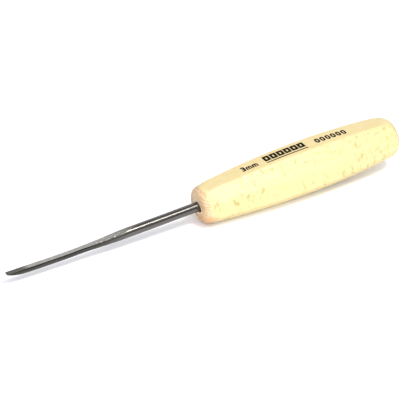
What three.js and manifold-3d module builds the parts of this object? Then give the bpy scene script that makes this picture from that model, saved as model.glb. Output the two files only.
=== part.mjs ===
// Straight carving chisel for lino and wood: a forged steel blade on a round shank, with its
// tapered tang pressed into an octagonal, barrel-shaped beech handle.
//
// Millimetres. +X runs along the tool, from the cutting edge to the butt. +Z is up through the
// handle's top flat, which is parallel to the blade's flat face. The origin is the centre of
// the flat end of the butt, on the tool's axis.

import * as THREE from 'three';
import { mergeVertices } from 'three/addons/utils/BufferGeometryUtils.js';
import Module from 'manifold-3d';

const wasm = await Module();
wasm.setup();

// Beech handle
const HANDLE_LENGTH = 120;
const HANDLE_SIDES = 8;
const BELLY_FLATS = 27; // across the flats where the barrel is thickest
const BELLY_TO_FRONT = 66; // from the front end back to the thickest place
const FRONT_FLATS = 19.2; // across the flats, where the barrel's curve meets the front end
const BUTT_FLATS = 21.2; // the same at the butt
const ARRIS_EASE = 0.4; // taken off each of the eight long edges
const FRONT_FACE_RADIUS = 6; // flat turned face around the shank
const FRONT_DOME_LENGTH = 4.8; // from that face to where the turned dome ends
const BUTT_FACE_RADIUS = 7;
const BUTT_DOME_LENGTH = 6.8;

// Steel blade, shank and tang
const SHANK_RADIUS = 2.6;
const STEEL_OUT = 107; // steel standing out of the handle
const SHANK_IN = 8; // round shank inside the handle
const TANG_LENGTH = 54;
const TANG_ROOT_WIDTH = 3.8; // square tang, at the shank
const TANG_TIP_WIDTH = 2.2;
const DRAW_START = 42; // straight shank ahead of the handle. All lengths from here on run
const DRAW_END = 68; // forwards from the front of the handle
const DRAWN_HALF_WIDTH = 1.75; // oval section of the bar once it is drawn down
const DRAWN_HALF_HEIGHT = 1.9;
const FACE_HEIGHT = 1.22; // flat ground face, above the axis
const FACE_GRIND_START = 36;
const FACE_GRIND_END = 60;
const TOP_BEVEL_LENGTH = 10;
const EDGE_HEIGHT = 0.95; // cutting edge, above the axis
const HEEL_LENGTH = 22; // curved bevel under the cutting edge
const HEEL_DROP = 1.7; // from the axis down to where the curved bevel starts
const HEEL_POWER = 3.2; // how much the bevel curves
const TIP_LIFT = 1.1; // how far the last of the blade curves up
const LIFT_POWER = 1.6; // how much that rise curves
const TIP_LIFT_LENGTH = 35;

// Clearances of the pocket around the steel
const POCKET_GAP = 0.3;
const MOUTH_FLARE = 0.5; // extra radius of the bore's broken edge
const MOUTH_DEPTH = 0.9;

// How far cutting shapes reach past what they cut
const OVERSHOOT = 1;

// Fineness of the faceting
const ROUND_SEGMENTS = 48;
const DOME_SEGMENTS = 60;
const CURVE_STEPS = 10;
const BARREL_STEPS = 20;
const BLADE_STEPS = 16;

const BEECH = new THREE.MeshStandardMaterial({ color: 0xf3e3b3, roughness: 0.45, metalness: 0 });
const TOOL_STEEL = new THREE.MeshStandardMaterial({
  color: 0x85827c,
  roughness: 0.3,
  metalness: 1,
});

// A closed solid from any closed geometry.
function solid(geometry) {
  const bare = geometry.clone();
  bare.deleteAttribute('normal');
  bare.deleteAttribute('uv');
  const merged = mergeVertices(bare);
  return new wasm.Manifold(
    new wasm.Mesh({
      numProp: 3,
      vertProperties: new Float32Array(merged.attributes.position.array),
      triVerts: new Uint32Array(merged.index.array),
    }),
  );
}

// A named mesh from a solid.
function piece(name, body, material) {
  const mesh = body.getMesh();
  const geometry = new THREE.BufferGeometry();
  geometry.setAttribute('position', new THREE.BufferAttribute(mesh.vertProperties, 3));
  geometry.setIndex(new THREE.BufferAttribute(mesh.triVerts, 1));
  geometry.computeVertexNormals();
  const named = new THREE.Mesh(geometry, material);
  named.name = name;
  return named;
}

// Turned about the X axis. The profile is [x, radius] pairs, with x rising, that start and end
// on the axis.
function turned(profile, segments, startAngle = 0) {
  const points = profile.map(([x, radius]) => new THREE.Vector2(radius, x));
  return new THREE.LatheGeometry(points, segments, startAngle).rotateZ(-Math.PI / 2);
}

// A flat outline in X and Z, pushed through the tool from side to side.
function throughY(outline, width) {
  const geometry = new THREE.ExtrudeGeometry(outline, { depth: width, bevelEnabled: false });
  return geometry.translate(0, 0, -width / 2).rotateX(Math.PI / 2);
}

// Evenly spaced numbers from 0 to 1.
function steps(count) {
  return Array.from({ length: count + 1 }, (_, i) => i / count);
}

const FRONT = -HANDLE_LENGTH;
const TIP = FRONT - STEEL_OUT;

// Distance ahead of the handle's front end, as an x position.
function ahead(distance) {
  return FRONT - distance;
}

// ---- Handle ----

// Width across the flats at x: fullest at the belly, less along a parabola to each end.
function acrossFlats(x) {
  const bellyX = FRONT + BELLY_TO_FRONT;
  const toFront = x < bellyX;
  const share = toFront ? (bellyX - x) / BELLY_TO_FRONT : (x - bellyX) / -bellyX;
  const endFlats = toFront ? FRONT_FLATS : BUTT_FLATS;
  return BELLY_FLATS - (BELLY_FLATS - endFlats) * share ** 2;
}

function toCorner(flats) {
  return flats / 2 / Math.cos(Math.PI / HANDLE_SIDES);
}

// An eight-sided barrel, as a turning with eight segments. flatsAt gives its width across the
// flats at x.
function barrel(flatsAt, startAngle) {
  const along = steps(BARREL_STEPS).map((t) => FRONT + t * HANDLE_LENGTH);
  const profile = along.map((x) => [x, toCorner(flatsAt(x))]);
  return solid(turned([[FRONT, 0], ...profile, [0, 0]], HANDLE_SIDES, startAngle));
}

// The handle's own eight sides, with a flat facing up, and the eight narrow ones that ease
// its long edges.
const halfSide = Math.PI / HANDLE_SIDES;
const eightSided = barrel(acrossFlats, halfSide);
const easedEdges = barrel((x) => 2 * (toCorner(acrossFlats(x)) - ARRIS_EASE), 0);

// One rounded end, from its flat face out to the barrel's corners. inward is 1 or -1 in x.
function domedEnd(endX, inward, length, faceRadius, flats) {
  const rise = toCorner(flats) - faceRadius;
  return steps(CURVE_STEPS).map((t) => {
    const angle = (t * Math.PI) / 2;
    const x = endX + inward * length * (1 - Math.cos(angle));
    return [x, faceRadius + rise * Math.sin(angle)];
  });
}

// The turning that domes both ends. Between them it is wider than the barrel's corners.
function endTurning() {
  const clear = toCorner(BELLY_FLATS) + OVERSHOOT;
  const front = domedEnd(FRONT, 1, FRONT_DOME_LENGTH, FRONT_FACE_RADIUS, FRONT_FLATS);
  const butt = domedEnd(0, -1, BUTT_DOME_LENGTH, BUTT_FACE_RADIUS, BUTT_FLATS).reverse();
  const body = [
    [FRONT + FRONT_DOME_LENGTH + OVERSHOOT, clear],
    [-BUTT_DOME_LENGTH - OVERSHOOT, clear],
  ];
  return solid(turned([[FRONT, 0], ...front, ...body, ...butt, [0, 0]], DOME_SEGMENTS));
}

// The hole for the shank, with a broken edge at its mouth.
function shankBore() {
  const radius = SHANK_RADIUS + POCKET_GAP;
  const bottom = FRONT + SHANK_IN + POCKET_GAP;
  return solid(
    turned(
      [
        [FRONT - OVERSHOOT, 0],
        [FRONT - OVERSHOOT, radius + MOUTH_FLARE],
        [FRONT, radius + MOUTH_FLARE],
        [FRONT + MOUTH_DEPTH, radius],
        [bottom, radius],
        [bottom, 0],
      ],
      ROUND_SEGMENTS,
    ),
  );
}

// A square bar that narrows towards the butt, with two flats level.
function squareTaper(fromX, length, rootWidth, tipWidth) {
  const toCornerOfSquare = Math.SQRT1_2;
  const sides = 4;
  const geometry = new THREE.CylinderGeometry(
    tipWidth * toCornerOfSquare,
    rootWidth * toCornerOfSquare,
    length,
    sides,
  )
    .rotateY(Math.PI / 4)
    .rotateZ(-Math.PI / 2)
    .translate(fromX + length / 2, 0, 0);
  return solid(geometry);
}

const tangStart = FRONT + SHANK_IN;
const pocketForTang = squareTaper(
  tangStart - OVERSHOOT,
  TANG_LENGTH + OVERSHOOT + POCKET_GAP,
  TANG_ROOT_WIDTH + 2 * POCKET_GAP,
  TANG_TIP_WIDTH + 2 * POCKET_GAP,
);

const handle = eightSided
  .intersect(easedEdges)
  .intersect(endTurning())
  .subtract(shankBore())
  .subtract(pocketForTang);

// ---- Blade, shank and tang: one forging ----

// The last of the blade curves up a little towards the edge.
function lift(x) {
  const pastStart = Math.max(0, TIP + TIP_LIFT_LENGTH - x);
  return TIP_LIFT * (pastStart / TIP_LIFT_LENGTH) ** LIFT_POWER;
}

// The round bar, drawn down to an oval ahead of the shank.
function drawnBar() {
  const drawn = (x) => THREE.MathUtils.smoothstep(FRONT - x, DRAW_START, DRAW_END);
  const halfHeight = (x) => THREE.MathUtils.lerp(SHANK_RADIUS, DRAWN_HALF_HEIGHT, drawn(x));
  const halfWidth = (x) => THREE.MathUtils.lerp(SHANK_RADIUS, DRAWN_HALF_WIDTH, drawn(x));
  const blade = steps(BLADE_STEPS).map((t) => THREE.MathUtils.lerp(TIP, ahead(DRAW_END), t));
  const neck = steps(CURVE_STEPS).map((t) => ahead(THREE.MathUtils.lerp(DRAW_END, DRAW_START, t)));
  const along = [TIP - OVERSHOOT, ...blade, ...neck.slice(1), tangStart];
  const profile = along.map((x) => [x, halfHeight(x)]);
  const geometry = turned([[along[0], 0], ...profile, [tangStart, 0]], ROUND_SEGMENTS);
  const place = geometry.attributes.position;
  for (let i = 0; i < place.count; i++) {
    const x = place.getX(i);
    place.setY(i, (place.getY(i) * halfWidth(x)) / halfHeight(x));
    place.setZ(i, place.getZ(i) + lift(x));
  }
  return solid(geometry);
}

// A grinding wheel's run-out: how far the ground surface still stands proud, from 1 where it
// starts to 0 where it is level.
function runOut(t) {
  return (1 - t) ** 2;
}

// Side view: the flat face and its run-out, the two bevels and the cutting edge.
function sideOutline() {
  const clear = SHANK_RADIUS + OVERSHOOT;
  const runningOut = steps(CURVE_STEPS).map((t) => [
    ahead(THREE.MathUtils.lerp(FACE_GRIND_START, FACE_GRIND_END, t)),
    FACE_HEIGHT + (SHANK_RADIUS - FACE_HEIGHT) * runOut(t),
  ]);
  const face = steps(BLADE_STEPS)
    .slice(1)
    .map((t) => [
      THREE.MathUtils.lerp(ahead(FACE_GRIND_END), TIP + TOP_BEVEL_LENGTH, t),
      FACE_HEIGHT,
    ]);
  const heel = steps(BLADE_STEPS).map((t) => [
    TIP + t * HEEL_LENGTH,
    (EDGE_HEIGHT + HEEL_DROP) * (1 - t) ** HEEL_POWER - HEEL_DROP,
  ]);
  const outline = [
    [tangStart + OVERSHOOT, -clear],
    [tangStart + OVERSHOOT, clear],
    [ahead(FACE_GRIND_START), clear],
    ...runningOut,
    ...face,
    ...heel,
    [TIP + HEEL_LENGTH, -clear],
  ];
  return new THREE.Shape(outline.map(([x, z]) => new THREE.Vector2(x, z + lift(x))));
}

const tang = squareTaper(
  tangStart - OVERSHOOT,
  TANG_LENGTH + OVERSHOOT,
  TANG_ROOT_WIDTH,
  TANG_TIP_WIDTH,
);
const ground = solid(throughY(sideOutline(), 4 * SHANK_RADIUS));
const blade = drawnBar().intersect(ground).add(tang);

const chisel = new THREE.Group();
chisel.name = 'carving_chisel';
chisel.add(piece('blade', blade, TOOL_STEEL));
chisel.add(piece('handle', handle, BEECH));

export default chisel;
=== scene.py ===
"""Looks of a straight carving chisel: a ground steel blade in an octagonal beech handle.

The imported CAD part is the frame. +X runs from the cutting edge to the butt, +Z up through the
handle's top flat. Shapes are worked out in millimetres and made in metres.
"""
import math

import bmesh
import bpy
import numpy as np
from mathutils import Matrix, Vector


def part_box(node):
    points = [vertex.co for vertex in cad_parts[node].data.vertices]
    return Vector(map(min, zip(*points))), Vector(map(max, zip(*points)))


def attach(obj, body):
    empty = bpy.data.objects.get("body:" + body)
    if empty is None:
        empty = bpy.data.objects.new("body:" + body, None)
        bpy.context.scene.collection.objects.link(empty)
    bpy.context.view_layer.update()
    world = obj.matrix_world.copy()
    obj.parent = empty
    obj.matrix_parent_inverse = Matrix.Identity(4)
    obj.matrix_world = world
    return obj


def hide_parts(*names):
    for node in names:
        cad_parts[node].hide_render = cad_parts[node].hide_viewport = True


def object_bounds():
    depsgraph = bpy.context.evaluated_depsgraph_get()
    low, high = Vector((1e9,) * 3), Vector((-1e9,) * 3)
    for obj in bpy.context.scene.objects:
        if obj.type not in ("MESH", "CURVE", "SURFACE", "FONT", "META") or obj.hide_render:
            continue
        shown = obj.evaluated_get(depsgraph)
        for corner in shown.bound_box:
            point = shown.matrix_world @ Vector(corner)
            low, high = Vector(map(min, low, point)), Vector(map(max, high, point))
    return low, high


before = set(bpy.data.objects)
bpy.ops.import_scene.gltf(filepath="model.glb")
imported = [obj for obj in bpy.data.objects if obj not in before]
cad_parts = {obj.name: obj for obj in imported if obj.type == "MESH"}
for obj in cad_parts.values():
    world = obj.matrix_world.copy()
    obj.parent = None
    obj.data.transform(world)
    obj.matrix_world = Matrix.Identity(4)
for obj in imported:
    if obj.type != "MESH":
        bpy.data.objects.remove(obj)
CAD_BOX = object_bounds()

MM = 0.001

HANDLE_LOW, HANDLE_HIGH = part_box("handle")
BLADE_LOW, BLADE_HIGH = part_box("blade")
FRONT = HANDLE_LOW.x / MM
BUTT = HANDLE_HIGH.x / MM
TIP = BLADE_LOW.x / MM

# Handle, in millimetres
SIDES = 8
BELLY_X = FRONT + 66
BELLY_FLATS = 2 * HANDLE_HIGH.z / MM
FRONT_FLATS = 19.2
BUTT_FLATS = 21.2
ARRIS_SHARPNESS = 75  # power of the rounding between the flats
FRONT_FACE_RADIUS = 6
FRONT_DOME_LENGTH = 4.8
BUTT_FACE_RADIUS = 7
BUTT_DOME_LENGTH = 6.8
DOME_BLEND = 0.35  # rounding between the flats and the domed ends

# Steel, in millimetres. Lengths ahead of the handle run forwards from its front end.
SHANK_RADIUS = 2.6
SHANK_IN = 8
TANG_ROOT_WIDTH = 3.8
TANG_TIP_WIDTH = 2.2
TANG_END = BLADE_HIGH.x / MM
TANG_SHOULDER = 0.2  # length over which the round shank turns square
DRAW_START, DRAW_END = 42, 68
DRAWN_HALF_WIDTH = 1.75
DRAWN_HALF_HEIGHT = 1.9
FACE_HEIGHT = 1.22
FACE_GRIND_START, FACE_GRIND_END = 36, 60
TOP_BEVEL_LENGTH = 10
EDGE_HEIGHT = 0.95
EDGE_THICKNESS = 0.03
HEEL_LENGTH = 22
HEEL_DROP = 1.7
HEEL_POWER = 3.2
TIP_LIFT = 1.1
LIFT_POWER = 1.6
TIP_LIFT_LENGTH = 35

# Pocket for the steel, in millimetres. It is tight above and torn open on the lower near side.
POCKET_GAP = 0.3
POCKET_STEP = 0.1  # length of the narrowing where the round hole ends
POCKET_STEP_SHARE = 0.96
TIGHT_GAP = 0.06
MOUTH_DEPTH = 0.9
MOUTH_FLARE = 0.1
MOUTH_POWER = 1.6
TEAR_GAP = 0.75
TEAR_ANGLE = math.radians(215)
TEAR_POWER = 1.5
TEAR_TAPER = ((5.5, 0.6), (3, 0.8), (1.6, 0.9))  # depth, and share of the tear left there
RAGGED_WAVES = ((5, 0.05, 1), (11, 0.04, 0), (23, 0.03, 2))  # waves round the mouth, size, phase
RAGGED_ALL_ROUND = 0.4  # share of the waves that is there all round. The tear adds 1 to it.

# How finely the meshes are made
AROUND = 240
DOME_RINGS = 44
BODY_RINGS = 120
MOUTH_RINGS = 8
FACE_RINGS = 6
EDGE_RINGS = 30
EDGE_CROWDING = 1.5  # power that crowds the rings towards the cutting edge
BLADE_RINGS = 160
SHANK_RINGS = 60
TANG_RINGS = 12
ACROSS = 17  # points across the top of each steel section, and across its underside
DOWN = 20  # points down each of its sides
LEAST_REACH = 0.2  # least half width of a section's top and underside, as a share of the bar's

# How the tool lies: on the front half of its belly, edge end a little above the floor
REST_TILT = math.radians(3.15)

# Camera, as found from the photograph. Distances are in millimetres.
CAMERA_AZIMUTH = math.radians(-27.555)
CAMERA_ELEVATION = math.radians(33.297)
CAMERA_ROLL = math.radians(-4.252)
CAMERA_DISTANCE = 816.24
CAMERA_SIDEWAYS = 1.171
CAMERA_RAISED = 3.352
LENS = 144
SENSOR = 36
CLIP_START = 50


# ---- Meshes ----

def make_object(name, vertices, faces, material, sharp_angle):
    """A closed mesh object from millimetre coordinates."""
    mesh = bpy.data.meshes.new(name)
    mesh.from_pydata([tuple(v) for v in np.asarray(vertices) * MM], [], faces)
    shape = bmesh.new()
    shape.from_mesh(mesh)
    bmesh.ops.recalc_face_normals(shape, faces=shape.faces)
    shape.to_mesh(mesh)
    shape.free()
    mesh.polygons.foreach_set("use_smooth", [True] * len(mesh.polygons))
    mesh.set_sharp_from_angle(angle=math.radians(sharp_angle))
    mesh.materials.append(material)
    made = bpy.data.objects.new(name, mesh)
    bpy.context.scene.collection.objects.link(made)
    return made


def skin(rings, closed_ends=True):
    """Vertices and faces of a tube through rings, which all have the same number of points."""
    rings = [np.asarray(r) for r in rings]
    count = len(rings[0])
    vertices = np.concatenate(rings)
    faces = []
    for i in range(len(rings) - 1):
        a, b = i * count, (i + 1) * count
        faces += [(a + j, a + (j + 1) % count, b + (j + 1) % count, b + j) for j in range(count)]
    if closed_ends:
        centres = np.array([rings[0].mean(0), rings[-1].mean(0)])
        first, last = len(vertices), len(vertices) + 1
        vertices = np.concatenate([vertices, centres])
        end = (len(rings) - 1) * count
        faces += [(first, (j + 1) % count, j) for j in range(count)]
        faces += [(last, end + j, end + (j + 1) % count) for j in range(count)]
    return vertices, faces


def smooth_min(a, b, reach):
    """The lower of a and b, rounded where they are within reach of each other."""
    near = np.maximum(reach - np.abs(a - b), 0) / reach
    return np.minimum(a, b) - near * near * reach / 4


def smoothstep(x, start, end):
    t = min(max((x - start) / (end - start), 0), 1)
    return t * t * (3 - 2 * t)


# ---- Handle ----

ANGLES = np.arange(AROUND) * 2 * math.pi / AROUND


def across_flats(x):
    """Width of the handle's body at x, from one flat to the opposite one."""
    toward_front = x < BELLY_X
    length = BELLY_X - FRONT if toward_front else BUTT - BELLY_X
    end = FRONT_FLATS if toward_front else BUTT_FLATS
    share = (x - BELLY_X) / length
    return BELLY_FLATS - (BELLY_FLATS - end) * share ** 2


def to_corner(flats):
    return flats / 2 / math.cos(math.pi / SIDES)


def ring(x, radius):
    """Points around the X axis. The angle runs from +Y towards +Z."""
    radius = np.broadcast_to(radius, ANGLES.shape)
    return np.stack([np.full(AROUND, float(x)), radius * np.cos(ANGLES), radius * np.sin(ANGLES)], 1)


def octagon(flats):
    """Radius at each angle of an octagon with its arrises rounded."""
    sides = np.arange(SIDES) * 2 * math.pi / SIDES
    facing = np.maximum(np.cos(ANGLES[:, None] - sides[None, :]), 0)
    return flats / 2 / (facing ** ARRIS_SHARPNESS).sum(1) ** (1 / ARRIS_SHARPNESS)


def square(half_width):
    return half_width / np.maximum(np.abs(np.cos(ANGLES)), np.abs(np.sin(ANGLES)))


def dome(end_x, inward, length, face_radius, flats):
    """Rings of one domed end, from its flat face inwards."""
    made = []
    for t in np.linspace(0, math.pi / 2, DOME_RINGS):
        x = end_x + inward * length * (1 - math.cos(t))
        turned = face_radius + (to_corner(flats) - face_radius) * math.sin(t)
        made.append(ring(x, smooth_min(octagon(across_flats(x)), turned, DOME_BLEND)))
    return made


def tang_hole():
    """Rings of the square hole, from its bottom to where the round one starts."""
    step = FRONT + SHANK_IN + POCKET_GAP
    end = TANG_END + POCKET_GAP
    root, tip = TANG_ROOT_WIDTH / 2 + POCKET_GAP, TANG_TIP_WIDTH / 2 + POCKET_GAP
    bore = SHANK_RADIUS + POCKET_GAP
    rings = [ring(end, square(tip * t)) for t in (0.3, 0.6, 1)]
    for t in (0.25, 0.5, 0.75, 1):
        rings.append(ring(end + (step - end) * t, square(tip + (root - tip) * t)))
    return rings + [ring(step, bore * POCKET_STEP_SHARE), ring(step - POCKET_STEP, bore)]


def torn_mouth():
    """Rings of the round hole out to its ragged mouth, and on over the flat front face."""
    toward_tear = np.maximum(np.cos(ANGLES - TEAR_ANGLE), 0) ** TEAR_POWER
    waves = sum(size * np.sin(count * ANGLES + phase) for count, size, phase in RAGGED_WAVES)
    ragged = MOUTH_FLARE + waves * (RAGGED_ALL_ROUND + toward_tear)
    tight = SHANK_RADIUS + TIGHT_GAP
    gap = TEAR_GAP * toward_tear
    rings = [ring(FRONT + depth, tight + gap * share) for depth, share in TEAR_TAPER]
    for t in np.linspace(0, 1, MOUTH_RINGS):
        rings.append(ring(FRONT + MOUTH_DEPTH * (1 - t), tight + gap + ragged * t ** MOUTH_POWER))
    mouth = tight + gap + ragged
    for t in np.linspace(0.15, 0.9, FACE_RINGS):
        rings.append(ring(FRONT, mouth + (FRONT_FACE_RADIUS - mouth) * t))
    return rings


def handle_mesh():
    """One closed skin: out of the hole, over the front end, along the body and over the butt."""
    rings = tang_hole() + torn_mouth()
    rings += dome(FRONT, 1, FRONT_DOME_LENGTH, FRONT_FACE_RADIUS, FRONT_FLATS)
    body = np.linspace(FRONT + FRONT_DOME_LENGTH, BUTT - BUTT_DOME_LENGTH, BODY_RINGS)[1:-1]
    rings += [ring(x, octagon(across_flats(x))) for x in body]
    rings += dome(BUTT, -1, BUTT_DOME_LENGTH, BUTT_FACE_RADIUS, BUTT_FLATS)[::-1]
    rings += [ring(BUTT, BUTT_FACE_RADIUS * t) for t in (0.8, 0.55, 0.25)]
    return skin(rings)


# ---- Steel ----

def bar_and_grinding(x):
    """Half width and half height of the oval bar at x, and its top and bottom once ground."""
    ahead = FRONT - x
    from_tip = x - TIP
    drawn = smoothstep(ahead, DRAW_START, DRAW_END)
    half_width = SHANK_RADIUS + (DRAWN_HALF_WIDTH - SHANK_RADIUS) * drawn
    half_height = SHANK_RADIUS + (DRAWN_HALF_HEIGHT - SHANK_RADIUS) * drawn
    top, bottom = half_height, -half_height
    if ahead > FACE_GRIND_START:
        t = min((ahead - FACE_GRIND_START) / (FACE_GRIND_END - FACE_GRIND_START), 1)
        top = FACE_HEIGHT + (SHANK_RADIUS - FACE_HEIGHT) * (1 - t) ** 2
    if from_tip < TOP_BEVEL_LENGTH:
        top = EDGE_HEIGHT + (FACE_HEIGHT - EDGE_HEIGHT) * from_tip / TOP_BEVEL_LENGTH
    if from_tip < HEEL_LENGTH:
        rise = (1 - from_tip / HEEL_LENGTH) ** HEEL_POWER
        bottom = (EDGE_HEIGHT + HEEL_DROP) * rise - HEEL_DROP
    top = min(top, half_height)
    bottom = min(max(bottom, -half_height), top - EDGE_THICKNESS)
    return half_width, half_height, top, bottom


def steel_section(x):
    """Outline of the steel at x, anticlockwise seen from the handle."""
    half_width, half_height, top, bottom = bar_and_grinding(x)

    def oval_z(y):
        return half_height * math.sqrt(max(0, 1 - (y / half_width) ** 2))

    def oval_y(z):
        return half_width * math.sqrt(max(0, 1 - (z / half_height) ** 2))

    top_reach = max(oval_y(top), LEAST_REACH * half_width)
    low_reach = max(oval_y(bottom), LEAST_REACH * half_width)
    outline = []
    for t in np.linspace(1, -1, ACROSS):
        outline.append((top_reach * t, min(top, oval_z(top_reach * t))))
    start = math.atan2(outline[-1][1] / half_height, top_reach / half_width)
    low_z = max(bottom, -oval_z(low_reach))
    end = math.atan2(low_z / half_height, low_reach / half_width)
    side = [start + (end - start) * t for t in np.linspace(0, 1, DOWN + 2)[1:-1]]
    outline += [(-half_width * math.cos(a), half_height * math.sin(a)) for a in side]
    for t in np.linspace(-1, 1, ACROSS):
        outline.append((low_reach * t, max(bottom, -oval_z(low_reach * t))))
    outline += [(half_width * math.cos(a), half_height * math.sin(a)) for a in side[::-1]]
    curve = max(0, TIP_LIFT_LENGTH - (x - TIP)) / TIP_LIFT_LENGTH
    lift = TIP_LIFT * curve ** LIFT_POWER
    return [(x, y, z + lift) for y, z in outline]


def tang_section(x, half_width):
    """The shank's outline pushed out to a square, at x."""
    made = []
    for _, y, z in steel_section(FRONT):
        longest = max(abs(y), abs(z))
        made.append((x, y * half_width / longest, z * half_width / longest))
    return made


def steel_mesh():
    """One closed skin from the cutting edge to the end of the tang."""
    tang_start = FRONT + SHANK_IN
    grind_start = FRONT - FACE_GRIND_START
    near_edge = np.linspace(0, 1, EDGE_RINGS) ** EDGE_CROWDING * HEEL_LENGTH
    along = [TIP + d for d in near_edge[:-1]]
    along += list(np.linspace(TIP + HEEL_LENGTH, grind_start, BLADE_RINGS)[:-1])
    along += list(np.linspace(grind_start, tang_start, SHANK_RINGS))
    rings = [steel_section(x) for x in along]
    square_start = tang_start + TANG_SHOULDER
    for t in np.linspace(0, 1, TANG_RINGS):
        half = (TANG_ROOT_WIDTH + (TANG_TIP_WIDTH - TANG_ROOT_WIDTH) * t) / 2
        rings.append(tang_section(square_start + (TANG_END - square_start) * t, half))
    return skin(rings)


# ---- Printed marks: strokes of ink on the top flat, in millimetres ----

INK_DEPTH = 0.02
INK_PROUD = 0.03
LONGEST_INK_STEP = 1.5
LEAST_MITRE_COSINE = 0.5  # limits how much a stroke widens at a sharp corner

SIZE_MARK_X, SIZE_MARK_Y = FRONT + 26.6, -2.1
FIGURE_MIDDLE, FIGURE_BOWL, FIGURE_STROKE = 1.1, 0.8, 1.05
FIGURE_SINK = 0.1  # how far the figure reaches below the letters
LETTER_LEFTS, LETTER_HEIGHT, LETTER_ARCH = (3.1, 6.7), 2.5, 0.62
STEM_STROKE, ARCH_STROKE = 0.85, 0.8

BLOCKS, BLOCK_PITCH = 6, 4.2
BLOCK_X, BLOCK_Y = FRONT + 40.6, -1.4
BLOCK_WIDTH, BLOCK_HEIGHT, BLOCK_STROKE = 3.75, 4.6, 1.45
RULE_LENGTH, RULE_STROKE = 25.1, 0.75
RULE_LEFT_Y, RULE_RIGHT_Y = -2.65, -2.85

LOOPS, LOOP_PITCH, LOOP_X = 6, 3.28, FRONT + 73
LOOP_LOW, LOOP_HIGH, LOOP_RADIUS, LOOP_STROKE = -0.95, 0.55, 0.82, 1.0


def ink_path(points, closed):
    """The points as arrays, with more put in where two are far apart."""
    path = [np.array(p, float) for p in points]
    ends = path[1:] + path[:1] if closed else path[1:]
    fine = []
    for a, b in zip(path, ends):
        parts = max(1, math.ceil(np.linalg.norm(b - a) / LONGEST_INK_STEP))
        fine += [a + (b - a) * k / parts for k in range(parts)]
    return fine if closed else fine + [path[-1]]


def ink_stroke(points, width, closed=False):
    """A stroke of ink along points (x, y) on the top flat, as one closed shell."""
    path = ink_path(points, closed)
    rings = []
    for i, p in enumerate(path):
        before = path[i - 1] if i or closed else p
        after = path[(i + 1) % len(path)] if i < len(path) - 1 or closed else p
        into = (p - before) / (np.linalg.norm(p - before) or 1)
        out = (after - p) / (np.linalg.norm(after - p) or 1)
        along = into + out
        along /= np.linalg.norm(along)
        cosine = abs(float(np.dot(along, out if np.any(out) else into)))
        side = np.array([-along[1], along[0]]) * width / 2 / max(LEAST_MITRE_COSINE, cosine)
        z = across_flats(p[0]) / 2
        corners = ((side, -INK_DEPTH), (side, INK_PROUD), (-side, INK_PROUD), (-side, -INK_DEPTH))
        rings.append([(*(p + offset), z + height) for offset, height in corners])
    if closed:
        rings.append(rings[0])
    vertices, faces = skin(rings, closed_ends=False)
    last = 4 * (len(rings) - 1)
    if closed:
        return vertices[:last], [tuple(k % last for k in face) for face in faces]
    return vertices, faces + [(3, 2, 1, 0), (last, last + 1, last + 2, last + 3)]


def box_stroke(x, y, width, height, stroke):
    """A hollow rectangle whose outer corner is at x, y."""
    left, low = x + stroke / 2, y + stroke / 2
    right, high = x + width - stroke / 2, y + height - stroke / 2
    return ink_stroke([(left, low), (right, low), (right, high), (left, high)], stroke, closed=True)


def arc(cx, cy, radius, start, end, steps=12):
    angles = np.radians(np.linspace(start, end, steps))
    return [(cx + radius * math.cos(a), cy + radius * math.sin(a)) for a in angles]


def printed(name, strokes, material):
    """One piece made of the strokes."""
    vertices, faces = [], []
    for v, f in strokes:
        base = len(vertices)
        vertices += [tuple(p) for p in v]
        faces += [tuple(k + base for k in face) for face in f]
    made = make_object(name, vertices, faces, material, sharp_angle=30)
    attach(made, "root")
    return made


def size_mark(material):
    """The width of the edge, 3 mm, as a figure and its unit."""
    x, y, bowl = SIZE_MARK_X + FIGURE_MIDDLE, SIZE_MARK_Y, FIGURE_BOWL
    waist = y + FIGURE_STROKE / 2 + 2 * bowl - FIGURE_SINK
    upper = arc(x, waist + bowl, bowl, 155, -90)
    lower = arc(x, waist - bowl, bowl, 90, -155)
    strokes = [ink_stroke(upper + lower[1:], FIGURE_STROKE)]
    top = y + LETTER_HEIGHT
    for offset in LETTER_LEFTS:
        left = SIZE_MARK_X + offset
        strokes.append(ink_stroke([(left, y), (left, top)], STEM_STROKE))
        for k in range(2):
            over = arc(left + LETTER_ARCH * (2 * k + 1), top - LETTER_ARCH, LETTER_ARCH, 180, 0, 8)
            foot = (left + LETTER_ARCH * (2 * k + 2), y)
            strokes.append(ink_stroke(over + [foot], ARCH_STROKE))
    return printed("size_mark", strokes, material)


def block_mark(material):
    """Six plain hollow squares and a rule under them."""
    strokes = []
    for k in range(BLOCKS):
        x = BLOCK_X + BLOCK_PITCH * k
        strokes.append(box_stroke(x, BLOCK_Y, BLOCK_WIDTH, BLOCK_HEIGHT, BLOCK_STROKE))
    rule = [(BLOCK_X, RULE_LEFT_Y), (BLOCK_X + RULE_LENGTH, RULE_RIGHT_Y)]
    strokes.append(ink_stroke(rule, RULE_STROKE))
    return printed("block_mark", strokes, material)


def row_mark(material):
    """A row of plain upright loops."""
    strokes = []
    for k in range(LOOPS):
        x = LOOP_X + LOOP_PITCH * k
        over = arc(x, LOOP_HIGH, LOOP_RADIUS, 0, 180, 9)
        under = arc(x, LOOP_LOW, LOOP_RADIUS, 180, 360, 9)
        strokes.append(ink_stroke(over + under, LOOP_STROKE, closed=True))
    return printed("row_mark", strokes, material)


# ---- Materials ----

BEECH_PALE = (0.628, 0.516, 0.270)
BEECH_RING = (0.585, 0.462, 0.205)
BEECH_END = (0.63, 0.47, 0.28)
BEECH_END_DARK = (0.53, 0.295, 0.125)
BEECH_TORN = (0.80, 0.70, 0.53)
# Painted shade: a dark line along the rims of the rounded ends, where they turn away from the light
BEECH_PAINTED_RIM_SHADE = (0.26, 0.22, 0.13)
FLECK = (0.67, 0.72, 0.55)
# Painted shade: a near black colour for the walls of the hole, where shade falls round the steel
POCKET_PAINTED_SHADE = (0.05, 0.03, 0.012)
PITH = (0, 8, -58)
RING_WIDTH = 1.1
RING_WANDER = (0, 9, 9)

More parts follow.
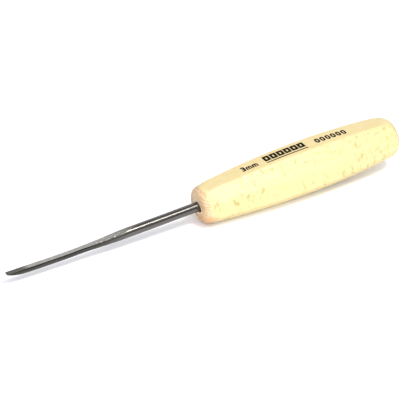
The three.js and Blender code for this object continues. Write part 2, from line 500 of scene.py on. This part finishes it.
SHANK_DARK, SHANK_PALE = (0.115, 0.11, 0.10), (0.165, 0.158, 0.145)
DRAWN_DARK, DRAWN_PALE = (0.05, 0.047, 0.042), (0.10, 0.095, 0.085)
GROUND_DARK, GROUND_PALE = (0.29, 0.28, 0.265), (0.45, 0.44, 0.42)
BRIGHT_FLAKE = (0.85, 0.83, 0.79)
BEVEL_TONE = (0.075, 0.074, 0.058)
# Lengths ahead of the handle over which the darker tone sets in, and the rough stretch starts and ends
DRAWN_TONE_FROM = (40, 58)
ROUGH_FROM, ROUGH_TO = (41, 47), (70, 52)

INK_DARK, INK_PALE = (0.006, 0.003, 0.001), (0.030, 0.016, 0.006)
PAPER_DARK, PAPER_PALE = (0.905, 0.90, 0.93), (0.92, 0.915, 0.945)

# Turns of the noise's own lattice, so that it doesn't line up with the flats
LATTICE_TURN_Y = (0, math.radians(38), 0)
LATTICE_TURN_Z = (0, 0, math.radians(38))


class Tree:
    """A material's node tree, with short ways to add nodes."""

    def __init__(self, name):
        self.material = bpy.data.materials.new(name)
        self.material.use_nodes = True
        self.tree = self.material.node_tree
        self.shader = self.tree.nodes["Principled BSDF"]
        coordinates = self.node("ShaderNodeTexCoord").outputs
        self.normal = coordinates["Normal"]
        self.mm = self.vector("SCALE", coordinates["Object"], scale=1 / MM)

    def node(self, kind, inputs=None, **settings):
        made = self.tree.nodes.new(kind)
        for key, value in settings.items():
            setattr(made, key, value)
        for key, value in (inputs or {}).items():
            self.put(made.inputs[key], value)
        return made

    def put(self, socket, value):
        if isinstance(value, bpy.types.NodeSocket):
            self.tree.links.new(value, socket)
        else:
            socket.default_value = value

    def set(self, **values):
        """Puts a value or a link in each shader socket named, with underscores for its spaces."""
        for key, value in values.items():
            self.put(self.shader.inputs[key.replace("_", " ")], value)

    def math(self, operation, a, b=0.0, clamp=False):
        made = self.node("ShaderNodeMath", {0: a, 1: b}, operation=operation, use_clamp=clamp)
        return made.outputs[0]

    def times(self, product, *others):
        for other in others:
            product = self.math("MULTIPLY", product, other)
        return product

    def vector(self, operation, a, b=None, scale=None):
        inputs = {0: a}
        if b is not None:
            inputs[1] = b
        if scale is not None:
            inputs["Scale"] = scale
        made = self.node("ShaderNodeVectorMath", inputs, operation=operation)
        return made.outputs["Value" if operation == "LENGTH" else "Vector"]

    def split(self, vector):
        """The x, y and z of a vector."""
        return self.node("ShaderNodeSeparateXYZ", {0: vector}).outputs

    def stretched(self, x, y, z):
        """Position in millimetres, times x, y and z."""
        return self.vector("MULTIPLY", self.mm, (x, y, z))

    def turned(self, rotation, scale):
        """Position in millimetres, times scale and then turned by rotation."""
        inputs = {"Vector": self.mm, "Rotation": rotation, "Scale": scale}
        return self.node("ShaderNodeMapping", inputs).outputs[0]

    def noise(self, vector, detail=2.0, rough=0.5, color=False):
        inputs = {"Vector": vector, "Scale": 1.0, "Detail": detail, "Roughness": rough}
        made = self.node("ShaderNodeTexNoise", inputs)
        return made.outputs["Color" if color else "Fac"]

    def step(self, value, start, end, low=0.0, high=1.0):
        """A smooth step from low to high, as value goes from start to end."""
        inputs = {"Value": value, "From Min": start, "From Max": end, "To Min": low, "To Max": high}
        made = self.node("ShaderNodeMapRange", inputs, interpolation_type="SMOOTHSTEP")
        return made.outputs["Result"]

    def mix(self, factor, a, b, blend="MIX"):
        made = self.node("ShaderNodeMix", data_type="RGBA", blend_type=blend)
        for socket, value in ((made.inputs[0], factor), (made.inputs[6], a), (made.inputs[7], b)):
            self.put(socket, (*value, 1) if isinstance(value, tuple) else value)
        return made.outputs[2]

    def bump(self, height, distance_mm):
        inputs = {"Height": height, "Distance": distance_mm * MM, "Strength": 1.0}
        self.set(Normal=self.node("ShaderNodeBump", inputs).outputs[0])


def late_wood(t):
    """Mask of the darker part of each growth ring, about a pith well below the handle."""
    wander = t.noise(t.stretched(0.009, 0.05, 0.05), color=True)
    wander = t.vector("MULTIPLY", t.vector("SUBTRACT", wander, (0.5, 0.5, 0.5)), RING_WANDER)
    from_pith = t.vector("SUBTRACT", t.vector("ADD", t.stretched(0, 1, 1), wander), PITH)
    across = t.math("FRACT", t.times(t.vector("LENGTH", from_pith), 1 / RING_WIDTH))
    return t.times(t.step(across, 0.35, 0.93), t.step(across, 1.0, 0.95))


def rays(t):
    """Mask of the rays: patches of flecks, short along the grain and faint on the top flat."""
    _, _, upward = t.split(t.normal)
    wide = t.noise(t.turned(LATTICE_TURN_Y, (0.40, 0.34, 0.2)), detail=3, rough=0.55)
    thin = t.noise(t.turned(LATTICE_TURN_Y, (0.95, 0.6, 0.32)), detail=1)
    patch = t.noise(t.vector("ADD", t.stretched(0.035, 0.09, 0.09), (3.0, 1.0, 7.0)), detail=1)
    ray = t.math("MAXIMUM", t.step(wide, 0.56, 0.66), t.step(thin, 0.62, 0.70, 0, 0.8))
    return t.times(ray, t.step(patch, 0.31, 0.5), t.step(upward, 0.95, 0.75, 0.15, 1))


def end_grain_color(t, late, speckle, fine):
    """Colour where the surface cuts across the grain: broken rings and torn fibres."""
    broken = t.times(late, t.step(speckle, 0.36, 0.58, 0.4, 1.0))
    color = t.mix(broken, BEECH_END, BEECH_END_DARK)
    color = t.mix(t.step(fine, 0.50, 0.68, 0, 0.75), color, BEECH_END_DARK)
    return t.mix(t.step(fine, 0.44, 0.33, 0, 0.7), color, BEECH_TORN)


def with_painted_rim_shade(t, color):
    """The colour, with painted shade in a line round the butt and on the front end's far side, darker
    below.
    """
    x, y, z = t.split(t.mm)
    toward_butt, _, _ = t.split(t.normal)
    # Painted shade on the rim round the butt and on the far side of the front end
    butt_rim_painted_shade = t.times(t.step(toward_butt, 0.5, 0.78), t.step(toward_butt, 0.98, 0.9, 0, 0.55))
    far_rim_painted_shade = t.times(t.step(x, FRONT + 4, FRONT + 1), t.step(y, 4.5, 7.5, 0, 0.6))
    color = t.mix(t.math("ADD", butt_rim_painted_shade, far_rim_painted_shade, clamp=True), color, BEECH_PAINTED_RIM_SHADE)
    low_front = t.times(t.step(z, -0.5, -6, 0, 0.95), t.step(x, FRONT + 9, FRONT + 1.5))
    return t.mix(low_front, color, BEECH_END_DARK)


def round_the_hole(t, color, fine):
    """The colour, with pale torn fibres at the mouth of the hole and painted shade inside it."""
    x, _, _ = t.split(t.mm)
    to_axis = t.vector("LENGTH", t.stretched(0, 1, 1))
    ragged = t.math("ADD", to_axis, t.step(fine, 0.3, 0.7, -1.6, 1.6))
    torn = t.times(t.step(ragged, 4.6, 3.4), t.step(x, FRONT + 1.5, FRONT + 0.3), 0.7)
    color = t.mix(torn, color, BEECH_TORN)
    in_pocket = t.times(t.step(x, FRONT + 0.1, FRONT + 0.9), t.step(x, BUTT - 20, BUTT - 30))
    # Painted shade: the walls of the hole are darkened to near black, where shade falls round the steel
    return t.mix(t.times(t.step(to_axis, 3.7, 3.4), in_pocket), color, POCKET_PAINTED_SHADE)


def beech():
    t = Tree("waxed_beech")
    toward_butt, _, _ = t.split(t.normal)
    late = late_wood(t)
    ray = rays(t)
    streak = t.noise(t.stretched(0.045, 2.4, 2.4), detail=3, rough=0.6)
    pores = t.node("ShaderNodeTexVoronoi", {"Vector": t.stretched(0.22, 3.6, 3.6), "Scale": 1.0})
    pore = t.step(pores.outputs["Distance"], 0.3, 0.12)
    speckle = t.noise(t.stretched(1.6, 2.6, 2.6), detail=3, rough=0.65)
    fine = t.noise(t.stretched(1.1, 1.3, 1.3), detail=2, rough=0.65)
    end_grain = t.math("ADD", t.step(toward_butt, -0.12, -0.55), t.step(toward_butt, 0.5, 0.95, 0, 0.6))

    color = t.mix(t.times(late, 0.3), BEECH_PALE, BEECH_RING)
    color = t.mix(t.step(streak, 0.40, 0.66, 0, 0.75), color, BEECH_RING)
    color = t.mix(t.times(pore, 0.35), color, BEECH_RING)
    color = t.mix(ray, color, FLECK, "MULTIPLY")
    color = t.mix(end_grain, color, end_grain_color(t, late, speckle, fine))
    color = round_the_hole(t, with_painted_rim_shade(t, color), fine)
    t.set(Base_Color=color, Roughness=t.step(streak, 0.3, 0.7, 0.42, 0.54), Specular_IOR_Level=0.45)

    height = t.math("ADD", t.times(streak, 0.5), t.times(pore, -0.4))
    height = t.math("SUBTRACT", height, t.times(ray, 0.3))
    t.bump(t.math("ADD", height, t.times(speckle, end_grain, 0.9)), 0.05)
    return t.material


def tool_steel():
    t = Tree("ground_steel")
    x, y, _ = t.split(t.mm)
    _, _, upward = t.split(t.normal)
    ahead = t.math("SUBTRACT", FRONT, x)
    bevel_start = FRONT - TIP - TOP_BEVEL_LENGTH
    # The face is ground crosswise. The shank and the sides are polished along their length.
    ground = t.times(t.step(ahead, FACE_GRIND_START, FACE_GRIND_END - 6), t.step(upward, 0.86, 0.97))
    rough_forging = t.times(t.step(ahead, *ROUGH_FROM), t.step(ahead, *ROUGH_TO))
    beveled = t.step(ahead, bevel_start - 3, bevel_start + 2, 0, 0.85)
    lines = t.noise(t.stretched(0.05, 3.0, 3.0), detail=3, rough=0.6)
    marks = t.noise(t.turned(LATTICE_TURN_Z, (3.4, 0.25, 1.0)), detail=3, rough=0.7)
    mottle = t.noise(t.stretched(0.7, 0.9, 0.9), detail=3, rough=0.6)
    flake = t.step(t.noise(t.stretched(0.9, 1.1, 1.1)), 0.55, 0.63)
    near_edge = t.times(t.step(upward, 0.45, 0.7), t.step(y, 0.6, -1.0, 0.25, 1))

    line = t.step(lines, 0.3, 0.7)
    shank_tone = t.mix(line, SHANK_DARK, SHANK_PALE)
    drawn_tone = t.mix(line, DRAWN_DARK, DRAWN_PALE)
    tone = t.mix(t.step(ahead, *DRAWN_TONE_FROM), shank_tone, drawn_tone)
    tone = t.mix(ground, tone, t.mix(t.step(marks, 0.35, 0.65), GROUND_DARK, GROUND_PALE))
    tone = t.mix(t.times(flake, rough_forging, near_edge), tone, BRIGHT_FLAKE)
    tone = t.mix(beveled, tone, BEVEL_TONE)
    rough = t.step(lines, 0.3, 0.7, 0.2, 0.3)
    rough = t.math("ADD", rough, t.times(ground, t.step(marks, 0.3, 0.7, 0.12, 0.26)))
    rough = t.math("ADD", rough, t.times(rough_forging, 0.12))
    t.set(Base_Color=tone, Metallic=1.0, Roughness=rough)

    height = t.math("ADD", t.times(lines, 0.05), t.times(marks, ground, 0.25))
    t.bump(t.math("ADD", height, t.times(mottle, rough_forging, 3.0)), 0.06)
    return t.material


def printing_ink():
    t = Tree("printing_ink")
    grain = t.noise(t.stretched(0.8, 3.0, 3.0), detail=3, rough=0.7)
    t.set(Base_Color=t.mix(t.step(grain, 0.4, 0.75), INK_DARK, INK_PALE),
          Roughness=t.step(grain, 0.3, 0.7, 0.7, 0.9), Specular_IOR_Level=0.12)
    t.bump(grain, 0.01)
    return t.material


def floor_paper():
    t = Tree("floor_paper")
    fibre = t.noise(t.stretched(0.4, 0.4, 0.4), detail=4)
    t.set(Base_Color=t.mix(fibre, PAPER_DARK, PAPER_PALE), Roughness=0.9, Specular_IOR_Level=0.0)
    return t.material


# ---- The object ----

handle = make_object("turned_handle", *handle_mesh(), beech(), sharp_angle=50)
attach(handle, "root")
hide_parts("handle")

blade = make_object("forged_blade", *steel_mesh(), tool_steel(), sharp_angle=32)
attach(blade, "root")
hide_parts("blade")

ink = printing_ink()
size_mark(ink)
block_mark(ink)
row_mark(ink)

# ---- Floor ----

HALF_FLOOR = 6  # metres
FLOOR_CELLS = 24
FLOOR_CLEARANCE = 0.02  # millimetres

# The floor lies just under the lowest flat, where the flat's curve is parallel to it
share = math.tan(REST_TILT) * (BELLY_X - FRONT) / (BELLY_FLATS - FRONT_FLATS)
contact_x = BELLY_X - share * (BELLY_X - FRONT)
contact = Vector((contact_x, 0, -across_flats(contact_x) / 2 - FLOOR_CLEARANCE)) * MM
level = Matrix.Rotation(REST_TILT, 4, "Y")

floor_mesh = bpy.data.meshes.new("floor")
shape = bmesh.new()
bmesh.ops.create_grid(shape, x_segments=FLOOR_CELLS, y_segments=FLOOR_CELLS, size=HALF_FLOOR)
shape.to_mesh(floor_mesh)
shape.free()
floor_mesh.materials.append(floor_paper())
floor = bpy.data.objects.new("floor", floor_mesh)
floor.matrix_world = Matrix.Translation(contact) @ level
bpy.context.scene.collection.objects.link(floor)

# ---- Light ----

CENTRE = (CAD_BOX[0] + CAD_BOX[1]) / 2
KEY_DIRECTION = (0.169, -0.528, 1.0)
GLINT_COLOR = (1.0, 0.93, 0.85)
WORLD_COLOR = (0.95, 0.97, 1.0)
WORLD_STRENGTH = 0.43


def softbox(name, direction, distance, size, radiance, reflected):
    """An area light, in metres. Its direction from the object is measured from the tilted floor."""
    width, height = size
    data = bpy.data.lights.new(name, "AREA")
    data.shape = "RECTANGLE"
    data.size, data.size_y = width, height
    data.energy = radiance * math.pi * width * height
    made = bpy.data.objects.new(name, data)
    toward = (level.to_3x3() @ Vector(direction)).normalized()
    made.location = CENTRE + toward * distance
    made.rotation_euler = toward.to_track_quat("Z", "Y").to_euler()
    made.visible_glossy = reflected
    made.visible_camera = False
    bpy.context.scene.collection.objects.link(made)
    return made


softbox("key", KEY_DIRECTION, 1.5, (0.27, 0.27), radiance=50.0, reflected=True)
# The bright line along the shank comes from a smaller, warmer light that only reflections show
glint = softbox("key_glint", KEY_DIRECTION, 1.45, (0.16, 0.16), radiance=100.0, reflected=True)
glint.visible_diffuse = False
glint.data.color = GLINT_COLOR
softbox("fill", (-0.36, -0.70, 0.78), 2.2, (3.2, 2.6), radiance=2.0, reflected=False)
softbox("low_fill", (-0.15, -0.97, 0.2), 1.8, (2.4, 0.6), radiance=4.0, reflected=False)
softbox("far_wall", (0.38, 0.76, 0.55), 1.5, (2.2, 0.9), radiance=1.1, reflected=True)

world = bpy.data.worlds.new("studio")
world.use_nodes = True
background = world.node_tree.nodes["Background"]
background.inputs["Color"].default_value = (*WORLD_COLOR, 1)
background.inputs["Strength"].default_value = WORLD_STRENGTH
bpy.context.scene.world = world
bpy.context.scene.view_settings.view_transform = "Standard"

# ---- Camera ----

cos_a, sin_a = math.cos(CAMERA_AZIMUTH), math.sin(CAMERA_AZIMUTH)
cos_e, sin_e = math.cos(CAMERA_ELEVATION), math.sin(CAMERA_ELEVATION)
back = Vector((sin_a * cos_e, -cos_a * cos_e, sin_e))
flat_right = Vector((cos_a, sin_a, 0))
flat_up = back.cross(flat_right)
right = math.cos(CAMERA_ROLL) * flat_right + math.sin(CAMERA_ROLL) * flat_up
up = math.cos(CAMERA_ROLL) * flat_up - math.sin(CAMERA_ROLL) * flat_right
aim = Vector((FRONT, 0, 0)) + CAMERA_SIDEWAYS * right + CAMERA_RAISED * up
camera_at = (aim + CAMERA_DISTANCE * back) * MM

camera_data = bpy.data.cameras.new("camera")
camera_data.lens = LENS
camera_data.sensor_width = SENSOR
camera_data.clip_start = CLIP_START * MM
camera = bpy.data.objects.new("camera", camera_data)
turn = Matrix((right, up, back)).transposed()
camera.matrix_world = Matrix.Translation(camera_at) @ turn.to_4x4()
bpy.context.scene.collection.objects.link(camera)
bpy.context.scene.camera = camera
